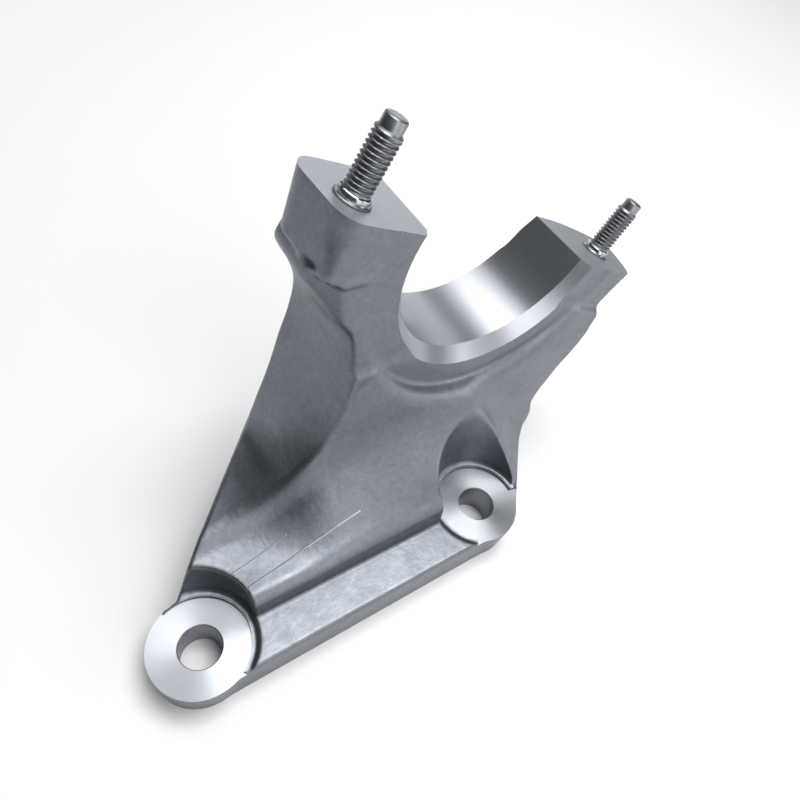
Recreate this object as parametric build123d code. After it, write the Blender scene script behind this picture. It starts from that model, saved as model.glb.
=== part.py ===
from build123d import *
import math
import os

os.makedirs("parts", exist_ok=True)

# ---------------------------------------------------------------- dimensions
# millimetres; origin midway between the two foot bolts on the mating plane,
# +X along the bolt line, +Y along the shaft away from the front, +Z up

# foot
BOLT_SPACING = 85.0      # centre to centre of the foot bolts
BOLT_HOLE_D = 10.5       # clearance for an M10 bolt
HOLE_CHAMFER = 0.2
PAD_THICK = 10.5         # machined spotface above the mating plane
SPOTFACE_D = 24.2
BOSS_R0 = 11.65          # as-cast outside of each bolt boss at the mating plane
BOSS_R1 = 12.4           # and at the spotface
BOSS_OFF = (0.1, 0.25)   # the cast boss sits this far outwards and back from its hole
RELIEF_FLOOR = 11.2      # cast ring left around the spotface
RELIEF_R0 = 13.3         # socket clearance, radius at its floor
RELIEF_RS = 13.9         # at the ledge
RELIEF_R1 = 16.2         # at RELIEF_TOP, right boss
RELIEF_TOP = 40.0
RELIEF_LEFT = (26.0, -0.55, 3.5, 14.5)   # left boss: level, shift and radius of its upper rim
STRIP_TOP = 12.0         # flat ledge between the bosses
STRIP_FRONT = -11.15     # front face of the foot
WALL_Y = -0.3            # foot of the step behind the ledge
SHELF_Z = 20.0           # where the main face starts above the step

# plan outline of the foot, straight flanks left and right
LEFT_Z = 22.5            # level that the left flank's two lines are given at
LEFT_FRONT = ((-36.45, 20.06), 49.8)
LEFT_REAR = ((-32.8, 24.6), 44.7)
LEFT_DRAFT = 8.0
RIGHT_ANG = 48.4         # of the right flank's front part
RIGHT_LINE = [(58.0, -1.3), (66.1, 8.0), (70.5, 12.8), (76.0, 17.35), (80.5, 20.4)]
FLANK_Z = 10.5           # right flank slopes up from here
FLANK_RISE = 1.2         # mm up per mm in

# main face, a concave sweep from the foot up to the saddle
FLARE_R = 30.0
FLARE_AXIS_Z = 50.0
FLARE_STATIONS = [       # x, y of the flare axis
    (-80.0, 13.0), (-50.0, 12.0), (-35.0, 10.0), (-24.0, 7.0), (-18.0, 4.0),
    (-10.8, -1.2), (-5.0, -5.5), (5.0, -8.8), (20.0, -10.0), (45.0, -10.0)]
FLANK_STATIONS = [52.0, 56.0, 60.0, 64.0, 68.0, 72.0, 76.0, 80.0, 120.0]
WEB_Y = 20.0             # front of the web right of the flare
FACE_LEAN = 8.0          # degrees, main face above the flare

# saddle
AXIS_X, AXIS_Z = 46.7, 85.8
NEAR_Y = 22.7
SADDLE_W = 24.0
BACK_Y = NEAR_Y + SADDLE_W
BORE_D = 62.0
BORE_CHAMFER = 3.1       # radial
BORE_CHAMFER_W = 3.6     # axial
TILT = 23.5              # clamp plane falls to the right
POCKET_R0 = 41.0         # cast clearance around the bore, at the near plane
POCKET_R1 = 43.5         # at the main face

# ears, in clamp coordinates (x across, y along the bore, z out of the clamp plane)
EAR_DEPTH = 12.8
EAR_DRAFT = 0.23         # left side of the left ear, mm in per mm down
STUD_X = 46.9
STUD_Y = 9.46

# studs, M6 x 1
STUD_D = 5.9
STUD_HOLE_D = 6.9
STUD_TIP = 16.65
DOG_D = 4.7
DOG_Z = 14.2
COLLAR_D = 6.9
RING_D = 8.0
STUD_IN = 11.0           # length below the clamp face

C_T = math.cos(math.radians(TILT))
S_T = math.sin(math.radians(TILT))
BIG = 400.0


def G(x, y, z):
    """clamp coordinates to the part frame"""
    return (AXIS_X + C_T * x + S_T * z, NEAR_Y + y, AXIS_Z - S_T * x + C_T * z)


CLAMP = Plane(origin=G(0, 0, 0), x_dir=(C_T, 0, -S_T), z_dir=(S_T, 0, C_T))


def prism_xy(pts, z0, z1):
    face = make_face(Polyline(*[(p[0], p[1], z0) for p in pts], close=True))
    return extrude(face, amount=z1 - z0, dir=(0, 0, 1))


def prism_y(pts, y0, y1):
    """profile given in (x, z), extruded along +Y"""
    face = make_face(Polyline(*[(p[0], y0, p[1]) for p in pts], close=True))
    return extrude(face, amount=y1 - y0, dir=(0, 1, 0))


def half_space(point, normal):
    """large box on the side that the normal points to"""
    pl = Plane(origin=point, z_dir=normal)
    return pl * Box(BIG, BIG, BIG, align=(Align.CENTER, Align.CENTER, Align.MIN))


# ---------------------------------------------------------------- foot slab
def line_foot(pt, ang, outward, cx):
    """nearest point to a boss centre on a flank line"""
    n = outward
    d = (pt[0] - cx) * n[0] + pt[1] * n[1]
    return (cx + d * n[0], d * n[1])


ra = math.radians(RIGHT_ANG)
nr = (math.sin(ra), -math.cos(ra))
HX = BOLT_SPACING / 2


def left_line(spec, z):
    """point on a left flank line at height z, its outward normal and its slope"""
    (px, py), deg = spec
    a = math.radians(deg)
    n = (-math.sin(a), math.cos(a))
    out = (LEFT_Z - z) * math.tan(math.radians(LEFT_DRAFT))
    return (px + n[0] * out, py + n[1] * out), n, math.tan(a)


# plan lines of the left flank where it meets the mating plane
(fp, fn, fs), (bp, bn, bs) = left_line(LEFT_FRONT, 0), left_line(LEFT_REAR, 0)
corner_x = (bp[1] - fp[1] + fs * fp[0] - bs * bp[0]) / (fs - bs)
lcorner = (corner_x, fp[1] + fs * (corner_x - fp[0]))
lfoot = line_foot(fp, fs, fn, -HX)
rfoot = line_foot(RIGHT_LINE[0], RIGHT_ANG, nr, HX)
lback = (bp[0] + (BACK_Y - bp[1]) / bs, BACK_Y)

plan = [(-HX, STRIP_FRONT), (HX, STRIP_FRONT), rfoot] + RIGHT_LINE + [
    (RIGHT_LINE[-1][0], BACK_Y), lback, lcorner, lfoot, (-HX - 9.0, -6.0)]
slab = prism_xy(plan, 0, 62)


def right_y(x):
    """plan line of the right flank"""
    pts = RIGHT_LINE
    for (x0, y0), (x1, y1) in zip(pts, pts[1:]):
        if x < x1 or (x1, y1) == pts[-1]:
            return y0 + (x - x0) * (y1 - y0) / (x1 - x0)

# ---------------------------------------------------------------- web
# outline in (x, z); the left side is trimmed afterwards
web_pts = [(-60, 0), (79.2, 0), (79.4, 10.5), (79.6, 17.0), (79.9, 21.8), (80.9, 25.3),
           (81.8, 29.0), (82.8, 32.5), (84.3, 35.5), (85.7, 38.7), (86.9, 41.8), (87.7, 45.1),
           (88.4, 48.3), (89.2, 51.5), (90.2, 55.0),
           G(56, 0, -EAR_DEPTH)[::2], G(56, 0, 8)[::2], G(-75, 0, 8)[::2], (-60, 60)]
web = prism_y(web_pts, WEB_Y - 0.8, BACK_Y)
web -= half_space(G(0, 0, -EAR_DEPTH), (S_T, 0, C_T))

# left side: ruled between a near and a far profile, trimmed as one surface
LOW_NEAR = [(-90, 21.0), (-55, 21.6), (-42, 22.2), (-35, 22.9), (-29, 23.7), (-24, 24.7), (-18, 26.8),
            (-12.2, 30.2), (-7.3, 34.9), (-2.6, 40.4), (0.8, 47.0), (3.2, 54.0), (4.6, 62.0),
            (4.4, 70.0), (3.0, 76.6)]
LOW_FAR = [(-90, 20.6), (-55, 21.0), (-42, 21.3), (-35, 21.5), (-29, 21.7), (-24, 21.9), (-17.4, 22.3),
           (-12.2, 23.6), (-9.2, 27.8), (-6.8, 36.0), (-4.8, 43.4), (-3.2, 50.6), (-1.8, 57.6),
           (-0.1, 64.3), (0.9, 71.0)]
HIGH_NEAR = [(3.0, 76.6), (-0.8, 81.5), (-3.5, 85.8), (-6.1, 89.7), (-8.2, 92.4), (-7.4, 95.6),
             (-7.4, 125.0)]
HIGH_FAR = [(0.9, 71.0), (0.8, 75.6), (-1.2, 81.2), (-3.4, 85.4), (-4.2, 88.2), (-2.5, 91.7),
            (-2.5, 125.0)]


def stretch(a, b, k):
    """point of the ruling a-b at parameter k"""
    return [(p[0] + k * (q[0] - p[0]), p[1] + k * (q[1] - p[1])) for p, q in zip(a, b)]


def left_section(y):
    k = (y - NEAR_Y) / SADDLE_W
    lo = [(p[0], y, p[1]) for p in stretch(LOW_NEAR, LOW_FAR, k)]
    hi = [(p[0], y, p[1]) for p in stretch(HIGH_NEAR, HIGH_FAR, k)]
    edges = [Spline(*lo), Polyline(*hi),
             Polyline(hi[-1], (-90, y, hi[-1][2]), lo[0])]
    return make_face(Wire([e for part in edges for e in part.edges()]))


trim_left = loft([left_section(16.7), left_section(52.7)], ruled=True)
web -= trim_left

body = slab + web

# left flank of the foot, drafted
ld = math.radians(LEFT_DRAFT)
for spec in (LEFT_FRONT, LEFT_REAR):
    (px, py), n, _ = left_line(spec, LEFT_Z)
    flank = half_space((px, py, LEFT_Z), (n[0] * math.cos(ld), n[1] * math.cos(ld), math.sin(ld)))
    flank &= Box(BIG, BIG, 32, align=(Align.CENTER, Align.CENTER, Align.MIN)) \
        .moved(Location((-150, 0, -5)))
    body -= flank
body -= trim_left

# ---------------------------------------------------------------- main face
lean = math.radians(FACE_LEAN)


def close_section(x, curve, z0):
    """region in front of and above a profile curve, closed into a face"""
    a0, a1 = curve @ 0, curve @ 1
    top = (x, NEAR_Y - 0.2, 66.0)
    high = (x, NEAR_Y, 140.0)
    edges = [Line((x, -40, z0), a0), curve, Line(a1, top), Line(top, high),
             Line(high, (x, -40, 140)), Line((x, -40, 140), (x, -40, z0))]
    return make_face(Wire(edges))


def flare_y(z, yc):
    return yc + math.sqrt(max(0.0, FLARE_R ** 2 - (FLARE_AXIS_Z - z) ** 2))


def smooth_min(a, b, k):
    h = max(k - abs(a - b), 0.0) / k
    return min(a, b) - h * h * k * 0.25


sections = []
z_arc = FLARE_AXIS_Z - FLARE_R * math.sin(lean)
for x, yc in FLARE_STATIONS:
    pts = []
    for i in range(9):
        t = math.radians(90 - lean) * i / 8
        pts.append((x, yc + FLARE_R * math.sin(t), FLARE_AXIS_Z - FLARE_R * math.cos(t)))
    sections.append(close_section(x, Spline(*pts), SHELF_Z))
for x in FLANK_STATIONS:
    # flank: plate level at y_edge, rising by FLANK_RISE per mm inwards
    y_edge = min(right_y(x), WEB_Y - 0.4)
    per_y = FLANK_RISE * math.cos(math.radians(42.8))
    pts = []
    for i in range(10):
        z = FLANK_Z + (z_arc - FLANK_Z) * (i / 9) ** 0.9
        y = y_edge + (z - FLANK_Z) / per_y
        if z > SHELF_Z and x < 60:
            y = max(y, flare_y(z, -10.0))
        y = smooth_min(y, WEB_Y + 0.15, 5.0)
        pts.append((x, max(y, y_edge), z))
    pts[-1] = (x, WEB_Y - 0.05, z_arc)
    sections.append(close_section(x, Spline(*pts), FLANK_Z))
front_cut = loft(sections, ruled=True)
body -= front_cut

# step behind the ledge
step = make_face(Polyline((-80, -40, STRIP_TOP), (-80, WALL_Y, STRIP_TOP), (-80, 0.5, 16.4),
                          (-80, 1.2, 18.6), (-80, 2.8, 20.4), (-80, 5.5, 21.6), (-80, 5.5, 60),
                          (-80, -40, 60), close=True))
body -= extrude(step, amount=180, dir=(1, 0, 0))

# ---------------------------------------------------------------- ears
def rounded(pts, radii, n=6):
    """polygon with rounded corners, each an arc of n chords"""
    out = []
    m = len(pts)
    for i, (p, r) in enumerate(zip(pts, radii)):
        if r == 0:
            out.append(p)
            continue
        a, b = pts[i - 1], pts[(i + 1) % m]
        u = (a[0] - p[0], a[1] - p[1])
        v = (b[0] - p[0], b[1] - p[1])
        lu, lv = math.hypot(*u), math.hypot(*v)
        u = (u[0] / lu, u[1] / lu)
        v = (v[0] / lv, v[1] / lv)
        half = 0.5 * math.acos(u[0] * v[0] + u[1] * v[1])
        t = r / math.tan(half)
        bx, by = u[0] + v[0], u[1] + v[1]
        lb = math.hypot(bx, by)
        cx, cy = p[0] + bx / lb * r / math.sin(half), p[1] + by / lb * r / math.sin(half)
        s = math.atan2(p[1] + u[1] * t - cy, p[0] + u[0] * t - cx)
        e = math.atan2(p[1] + v[1] * t - cy, p[0] + v[0] * t - cx)
        d = (e - s + math.pi) % (2 * math.pi) - math.pi
        out += [(cx + r * math.cos(s + d * k / n), cy + r * math.sin(s + d * k / n))
                for k in range(n + 1)]
    return out


def left_outline(z):
    """left ear across the clamp axis at height z, its left side drafted inwards going down"""
    d = -EAR_DRAFT * z
    return rounded([(-53.7 + d, 1.2), (-20.0, 1.2), (-20.0, 23.5), (-31.0, 23.4), (-54.9 + d, 21.9)],
                   [5.0, 0, 0, 0, 6.2])


def ear_face(pts, z):
    return make_face(Polyline(*[tuple((CLAMP * Pos(px, py, z)).position) for px, py in pts],
                              close=True))


body += loft([ear_face(left_outline(3.0), 3.0),
              ear_face(left_outline(-EAR_DEPTH - 1.0), -EAR_DEPTH - 1.0)], ruled=True)

# right ear: the outline changes down its height, rear edge rounded over the last 6 mm
right_top = [(20.0, 0.0), (54.2, 0.1), (56.6, 2.2), (58.8, 6.2), (60.7, 10.4), (61.1, 12.6),
             (60.2, 14.6), (58.2, 16.4), (54.5, 18.3), (50.3, 19.7), (42.4, 21.6), (31.2, 22.3),
             (20.0, 22.4)]
right_mid = [(20.0, 0.0), (52.7, 0.1), (55.3, 2.2), (57.5, 6.2), (59.3, 10.4), (59.7, 12.8),
             (59.0, 15.0), (57.1, 17.2), (54.0, 19.5), (49.8, 21.3), (42.2, 23.4), (31.2, 24.0),
             (20.0, 24.0)]
right_low = [(20.0, 0.0), (51.8, 0.1), (54.5, 2.2), (56.7, 6.2), (58.5, 10.4), (58.9, 12.8),
             (58.2, 15.2), (56.3, 17.6), (53.0, 19.9), (49.2, 21.6), (42.0, 23.4), (31.2, 24.0),
             (20.0, 24.0)]
right_end = [(20.0, 0.6), (50.6, 0.7), (53.0, 2.6), (54.4, 6.2), (55.2, 10.4), (55.3, 12.8),
             (54.9, 15.4), (53.6, 18.0), (51.2, 20.3), (48.0, 21.9), (41.2, 23.5), (31.2, 24.0),
             (20.0, 24.0)]


body += loft([ear_face(right_top, 3.0), ear_face(right_top, 0.0), ear_face(right_mid, -6.0),
              ear_face(right_low, -EAR_DEPTH), ear_face(right_end, -36.0)], ruled=True)

# clamp plane
body -= half_space(G(0, 0, 0), (S_T, 0, C_T))

# ---------------------------------------------------------------- bore and its clearance
axis_plane = Plane(origin=(AXIS_X, 0, AXIS_Z), x_dir=(1, 0, 0), z_dir=(0, 1, 0))


def disc_y(r0, r1, y0, y1):
    """cylinder or cone about the bore axis"""
    pl = Plane(origin=(AXIS_X, y0, AXIS_Z), x_dir=(1, 0, 0), z_dir=(0, 1, 0))
    if abs(r0 - r1) < 1e-9:
        return pl * Cylinder(r0, y1 - y0, align=(Align.CENTER, Align.CENTER, Align.MIN))
    return pl * Cone(r0, r1, y1 - y0, align=(Align.CENTER, Align.CENTER, Align.MIN))


body -= disc_y(POCKET_R1 + 1.0, POCKET_R0, NEAR_Y - 5.4, NEAR_Y)
body -= disc_y(BORE_D / 2, BORE_D / 2, 0, 80)
body -= disc_y(BORE_D / 2 + BORE_CHAMFER, BORE_D / 2, NEAR_Y, NEAR_Y + BORE_CHAMFER_W)

# ---------------------------------------------------------------- bolt bosses
for sx in (-1, 1):
    at = Location((sx * HX, 0, 0))
    boss = Cone(BOSS_R0, BOSS_R1, PAD_THICK, align=(Align.CENTER, Align.CENTER, Align.MIN)).moved(
        Location((sx * (HX + BOSS_OFF[0]), BOSS_OFF[1], 0)))
    relief = Cone(RELIEF_R0, RELIEF_RS, STRIP_TOP - RELIEF_FLOOR,
                  align=(Align.CENTER, Align.CENTER, Align.MIN)).moved(
        Location((sx * HX, 0, RELIEF_FLOOR)))
    if sx > 0:
        relief += Cone(RELIEF_RS, RELIEF_R1, RELIEF_TOP - STRIP_TOP,
                       align=(Align.CENTER, Align.CENTER, Align.MIN)).moved(
            Location((sx * HX, 0, STRIP_TOP)))
    else:
        # here the clearance leans back, away from the front
        relief += Cylinder(RELIEF_RS, RELIEF_TOP - STRIP_TOP,
                           align=(Align.CENTER, Align.CENTER, Align.MIN)).moved(
            Location((sx * HX, 0, STRIP_TOP)))
        level, dx, dy, radius = RELIEF_LEFT
        relief += loft([Face(Wire(Edge.make_circle(RELIEF_R0, Plane(origin=(sx * HX, 0, RELIEF_FLOOR))))),
                        Face(Wire(Edge.make_circle(radius, Plane(origin=(sx * HX + dx, dy, level)))))],
                       ruled=True)
    spot = Cylinder(SPOTFACE_D / 2, 30,
                    align=(Align.CENTER, Align.CENTER, Align.MIN)).moved(
        Location((sx * HX, 0, PAD_THICK)))
    hole = Cylinder(BOLT_HOLE_D / 2, 60).moved(at)
    rim = Cone(BOLT_HOLE_D / 2, BOLT_HOLE_D / 2 + 2.0, 2.0,
               align=(Align.CENTER, Align.CENTER, Align.MIN)).moved(
        Location((sx * HX, 0, PAD_THICK - HOLE_CHAMFER)))
    body -= relief
    body += boss
    body -= spot
    body -= hole
    body -= rim

# ---------------------------------------------------------------- stud holes and studs
def stud_at(x):
    return Plane(origin=G(x, STUD_Y, 0), x_dir=(C_T, 0, -S_T), z_dir=(S_T, 0, C_T))


def turned(steps):
    """solid of revolution about local Z; steps are (radius, z)"""
    pts = [(0, steps[0][1])] + list(steps) + [(0, steps[-1][1])]
    prof = make_face(Polyline(*[(r, 0, z) for r, z in pts], close=True))
    return revolve(prof, Axis.Z, 360)


# each hole's mouth is countersunk, so the clamp face stays clear of the stud's ring
hole_profile = [(STUD_HOLE_D / 2, -STUD_IN), (STUD_HOLE_D / 2, -0.75), (RING_D / 2 + 0.2, 0.0),
                (RING_D / 2 + 0.2, 1.0)]
stud_profile = [(STUD_HOLE_D / 2 - 0.4, -STUD_IN), (STUD_HOLE_D / 2, -STUD_IN + 0.4),
                (STUD_HOLE_D / 2, 0.0), (COLLAR_D / 2, 0.35), (RING_D / 2 - 0.15, 0.4),
                (RING_D / 2, 0.55), (RING_D / 2, 0.75), (RING_D / 2 - 0.15, 0.9),
                (COLLAR_D / 2 - 0.1, 1.1), (COLLAR_D / 2 - 0.2, 1.9), (STUD_D / 2, 2.5),
                (STUD_D / 2, 13.5), (DOG_D / 2, 14.2), (DOG_D / 2, STUD_TIP - 0.4),
                (DOG_D / 2 - 0.4, STUD_TIP)]

studs = []
for x in (-STUD_X, STUD_X):
    pl = stud_at(x)
    body -= pl * turned(hole_profile)
    studs.append(pl * turned(stud_profile))

casting = body.solids().sort_by(lambda s: s.volume)[-1] if len(body.solids()) > 1 else body.solids()[0]
print("casting solids", len(body.solids()), [round(s.volume, 1) for s in body.solids()])
casting.label = "bracket_casting"
bb = casting.bounding_box()
print("box", bb.min, bb.max, "volume", round(casting.volume, 1))

export_step(casting, "parts/bracket_casting.step")
export_step(studs[0].solids()[0], "parts/clamp_stud_left.step")
export_step(studs[1].solids()[0], "parts/clamp_stud_right.step")
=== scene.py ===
import math

import bpy
import numpy as np
from mathutils import Matrix, Vector


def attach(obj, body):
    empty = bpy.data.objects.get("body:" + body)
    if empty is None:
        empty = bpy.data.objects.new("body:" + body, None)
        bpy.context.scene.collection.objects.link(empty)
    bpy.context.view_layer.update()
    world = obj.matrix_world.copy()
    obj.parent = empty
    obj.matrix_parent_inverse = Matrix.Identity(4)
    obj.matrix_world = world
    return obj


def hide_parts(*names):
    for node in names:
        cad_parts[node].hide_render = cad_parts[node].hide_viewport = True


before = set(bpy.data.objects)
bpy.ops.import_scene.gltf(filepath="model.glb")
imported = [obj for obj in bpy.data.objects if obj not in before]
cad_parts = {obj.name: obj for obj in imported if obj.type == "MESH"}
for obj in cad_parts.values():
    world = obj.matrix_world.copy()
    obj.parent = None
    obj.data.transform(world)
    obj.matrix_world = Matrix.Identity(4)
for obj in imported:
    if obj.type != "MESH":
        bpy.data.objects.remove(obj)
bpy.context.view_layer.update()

MM = 0.001

# ------------------------------------------------------------------ dimensions, mm, as in the solid model
HX = 42.5                 # half the bolt spacing
HOLE_R = 5.25
PAD = 10.5
SPOT_R = 12.1
BOSS_R0, BOSS_R1, BOSS_OFF = 11.65, 12.4, (0.1, 0.25)
RELIEF_FLOOR, RELIEF_R0, RELIEF_RS, RELIEF_R1, RELIEF_TOP = 11.2, 13.3, 13.9, 16.2, 40.0
RELIEF_LEFT = (26.0, -0.55, 3.5, 14.5)
STRIP_TOP, STRIP_FRONT = 12.0, -11.15
WALL_Y = -0.3
LEFT_Z, LEFT_DRAFT = 22.5, 8.0
LEFT_FRONT, LEFT_REAR = ((-36.45, 20.06), 49.8), ((-32.8, 24.6), 44.7)
RIGHT_LINE = [(58.0, -1.3), (66.1, 8.0), (70.5, 12.8), (76.0, 17.35), (80.5, 20.4)]
RIGHT_ANG = 48.4
FLANK_Z, FLANK_RISE = 10.5, 1.2
FLARE_R, FLARE_Z, LEAN = 30.0, 50.0, math.radians(8.0)
FLARE_X = [-80.0, -50.0, -35.0, -24.0, -18.0, -10.8, -5.0, 5.0, 20.0, 45.0, 120.0]
FLARE_Y = [13.0, 12.0, 10.0, 7.0, 4.0, -1.2, -5.5, -8.8, -10.0, -10.0, -10.0]
WEB_Y = 20.0
AX, AZ, NY = 46.7, 85.8, 22.7
SADDLE_W = 24.0
BY = NY + SADDLE_W
BORE_R, BORE_CH, BORE_CHW = 31.0, 3.1, 3.6
TILT = math.radians(23.5)
EAR_DEPTH = 12.8
STUD_X, STUD_Y = 46.9, 9.46
C_T, S_T = math.cos(TILT), math.sin(TILT)


def G(x, y, z):
    return (AX + C_T * x + S_T * z, NY + y, AZ - S_T * x + C_T * z)


# ------------------------------------------------------------------ signed distance helpers
def rmax(a, b, r):
    """intersection with the edge rounded to radius r"""
    if r <= 0:
        return np.maximum(a, b)
    return np.minimum(-r, np.maximum(a, b)) + np.hypot(np.maximum(a + r, 0), np.maximum(b + r, 0))


def rmin(a, b, r):
    """union with the corner filled to radius r"""
    return -rmax(-a, -b, r)


def vmin(a, b, r):
    """union with a fill whose radius varies from place to place"""
    return -(np.minimum(-r, np.maximum(-a, -b)) + np.hypot(np.maximum(r - a, 0), np.maximum(r - b, 0)))


def poly_sdf(px, py, pts):
    """signed distance of points to a closed polygon, negative inside"""
    pts = np.asarray(pts, np.float32)
    d2 = np.full(px.shape, 1e9, np.float32)
    inside = np.zeros(px.shape, bool)
    m = len(pts)
    for i in range(m):
        ax, ay = pts[i]
        bx, by = pts[(i + 1) % m]
        ex, ey = bx - ax, by - ay
        L = ex * ex + ey * ey
        if L < 1e-12:
            continue
        wx, wy = px - ax, py - ay
        t = np.clip((wx * ex + wy * ey) / L, 0, 1)
        d2 = np.minimum(d2, (wx - ex * t) ** 2 + (wy - ey * t) ** 2)
        c = (ay > py) != (by > py)
        if ey != 0:
            inside ^= c & (px < ex * (py - ay) / ey + ax)
    d = np.sqrt(d2)
    return np.where(inside, -d, d)


def catmull(pts, n):
    """smooth curve through points, n steps a span"""
    p = np.asarray(pts, float)
    q = np.vstack([2 * p[0] - p[1], p, 2 * p[-1] - p[-2]])
    out = []
    for i in range(len(p) - 1):
        p0, p1, p2, p3 = q[i], q[i + 1], q[i + 2], q[i + 3]
        d0 = max(np.linalg.norm(p1 - p0), 1e-6) ** 0.5
        d1 = max(np.linalg.norm(p2 - p1), 1e-6) ** 0.5
        d2 = max(np.linalg.norm(p3 - p2), 1e-6) ** 0.5
        m1 = (p1 - p0) / d0 - (p2 - p0) / (d0 + d1) + (p2 - p1) / d1
        m2 = (p2 - p1) / d1 - (p3 - p1) / (d1 + d2) + (p3 - p2) / d2
        m1, m2 = m1 * d1, m2 * d1
        for k in range(n):
            t = k / n
            out.append((2 * t ** 3 - 3 * t ** 2 + 1) * p1 + (t ** 3 - 2 * t ** 2 + t) * m1
                       + (-2 * t ** 3 + 3 * t ** 2) * p2 + (t ** 3 - t ** 2) * m2)
    out.append(p[-1])
    return np.array(out)


def rounded(pts, radii, n=8):
    out = []
    m = len(pts)
    for i, (p, r) in enumerate(zip(pts, radii)):
        if r == 0:
            out.append(p)
            continue
        a, b = pts[i - 1], pts[(i + 1) % m]
        u = np.array([a[0] - p[0], a[1] - p[1]])
        v = np.array([b[0] - p[0], b[1] - p[1]])
        u /= np.linalg.norm(u)
        v /= np.linalg.norm(v)
        half = 0.5 * math.acos(float(u @ v))
        t = r / math.tan(half)
        w = (u + v) / np.linalg.norm(u + v)
        c = np.array(p) + w * r / math.sin(half)
        s = math.atan2(*(np.array(p) + u * t - c)[::-1])
        e = math.atan2(*(np.array(p) + v * t - c)[::-1])
        d = (e - s + math.pi) % (2 * math.pi) - math.pi
        out += [(c[0] + r * math.cos(s + d * k / n), c[1] + r * math.sin(s + d * k / n))
                for k in range(n + 1)]
    return out


# ------------------------------------------------------------------ grid
H = 0.56
LO = np.array([-58.0, -15.0, -2.4])
HI = np.array([105.5, 49.2, 111.0])
N = np.ceil((HI - LO) / H).astype(int) + 1
gx = (LO[0] + H * np.arange(N[0])).astype(np.float32)
gy = (LO[1] + H * np.arange(N[1])).astype(np.float32)
gz = (LO[2] + H * np.arange(N[2])).astype(np.float32)
X, Y, Z = gx[:, None, None], gy[None, :, None], gz[None, None, :]


def sample(grid, origin, step, px, py, pz):
    """trilinear lookup of a small grid at points, clamped at its ends"""
    n = np.array(grid.shape)
    u = np.clip((px - origin[0]) / step[0], 0, n[0] - 1.001)
    v = np.clip((py - origin[1]) / step[1], 0, n[1] - 1.001)
    w = np.clip((pz - origin[2]) / step[2], 0, n[2] - 1.001)
    i, j, k = u.astype(np.int32), v.astype(np.int32), w.astype(np.int32)
    u, v, w = u - i, v - j, w - k
    out = 0
    for a in (0, 1):
        for b in (0, 1):
            for c in (0, 1):
                out = out + grid[i + a, j + b, k + c] * (
                    (u if a else 1 - u) * (v if b else 1 - v) * (w if c else 1 - w))
    return out.astype(np.float32)


# ------------------------------------------------------------------ foot and main wall
ra = math.radians(RIGHT_ANG)
nr = (math.sin(ra), -math.cos(ra))
ld = math.radians(LEFT_DRAFT)


def line_foot(pt, n, cx):
    d = (pt[0] - cx) * n[0] + pt[1] * n[1]
    return (cx + d * n[0], d * n[1])


def left_line(spec, z):
    (lx, ly), deg = spec
    a = math.radians(deg)
    n = (-math.sin(a), math.cos(a))
    out = (LEFT_Z - z) * math.tan(ld)
    return (lx + n[0] * out, ly + n[1] * out), n, math.tan(a)


(fp, fn_, fs), (bp, bn_, bs) = left_line(LEFT_FRONT, 0), left_line(LEFT_REAR, 0)
corner_x = (bp[1] - fp[1] + fs * fp[0] - bs * bp[0]) / (fs - bs)
lcorner = (corner_x, fp[1] + fs * (corner_x - fp[0]))
lfoot = line_foot(fp, fn_, -HX)
rfoot = line_foot(RIGHT_LINE[0], nr, HX)
lback = (bp[0] + (BY + 3 - bp[1]) / bs, BY + 3)
plan = [(-HX, STRIP_FRONT), (HX, STRIP_FRONT), rfoot] + RIGHT_LINE + [
    (RIGHT_LINE[-1][0], BY + 3), lback, lcorner, lfoot, (-HX - 9.0, -6.0)]
plan_d = poly_sdf(gx[:, None] + 0 * gy[None, :], 0 * gx[:, None] + gy[None, :], plan)[:, :, None]

# air in front of the main wall: a concave cylinder along X whose axis drifts in Y, then a lean
yc = np.interp(gx, FLARE_X, FLARE_Y).astype(np.float32)
k5 = max(1, int(4.0 / H))
pad = np.pad(yc, k5, mode="edge")
yc = np.convolve(pad, np.ones(2 * k5 + 1) / (2 * k5 + 1), "valid").astype(np.float32)[:, None, None]
dy, dz = Y - yc, Z - FLARE_Z
ang = np.arctan2(dy, -dz)
cyl = FLARE_R - np.hypot(dy, dz)
ty, tz = FLARE_R * math.sin(math.pi / 2 - LEAN), FLARE_R * -math.cos(math.pi / 2 - LEAN)
leanp = -(dy - ty) * math.cos(LEAN) + (dz - tz) * math.sin(LEAN)
flat0 = Z - (FLARE_Z - FLARE_R) + 0 * dy
flare = np.where(dy < 0, flat0, np.where((ang > math.pi / 2 - LEAN) | (dz > 0), leanp, cyl)).astype(np.float32)
near_y = np.interp(gx, [-60.0, 2.5, 9.5, 13.0, 19.0, 120.0], [23.8, 23.8, 23.8, 23.9, NY, NY]).astype(np.float32)
near_y = near_y[:, None, None] + np.clip((82.0 - Z) / 16.0, 0, 1) * (NY - near_y[:, None, None])
flare = np.where(Z > 55, np.minimum(flare, near_y - Y), flare).astype(np.float32)  # the near face stands upright
wall = WALL_Y - Y + 0.03 * (Z - 12)
rl = [(10.0, RIGHT_LINE[0][1] - (RIGHT_LINE[0][0] - 10.0) * math.tan(ra))] + RIGHT_LINE + [(120.0, 20.4)]
edge_y = np.interp(gx, [q[0] for q in rl], [q[1] for q in rl]).astype(np.float32)
edge_y = np.minimum(edge_y, WEB_Y - 0.4)
pad = np.pad(edge_y, k5 // 2, mode="edge")
edge_y = np.convolve(pad, np.ones(2 * (k5 // 2) + 1) / (2 * (k5 // 2) + 1), "valid").astype(np.float32)[:, None, None]
per_y = FLANK_RISE * math.cos(math.radians(42.8))
fl_n = 1 / math.hypot(1, FLANK_RISE)
flank_r = (Z - FLANK_Z - per_y * (Y - edge_y)) * fl_n

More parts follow.
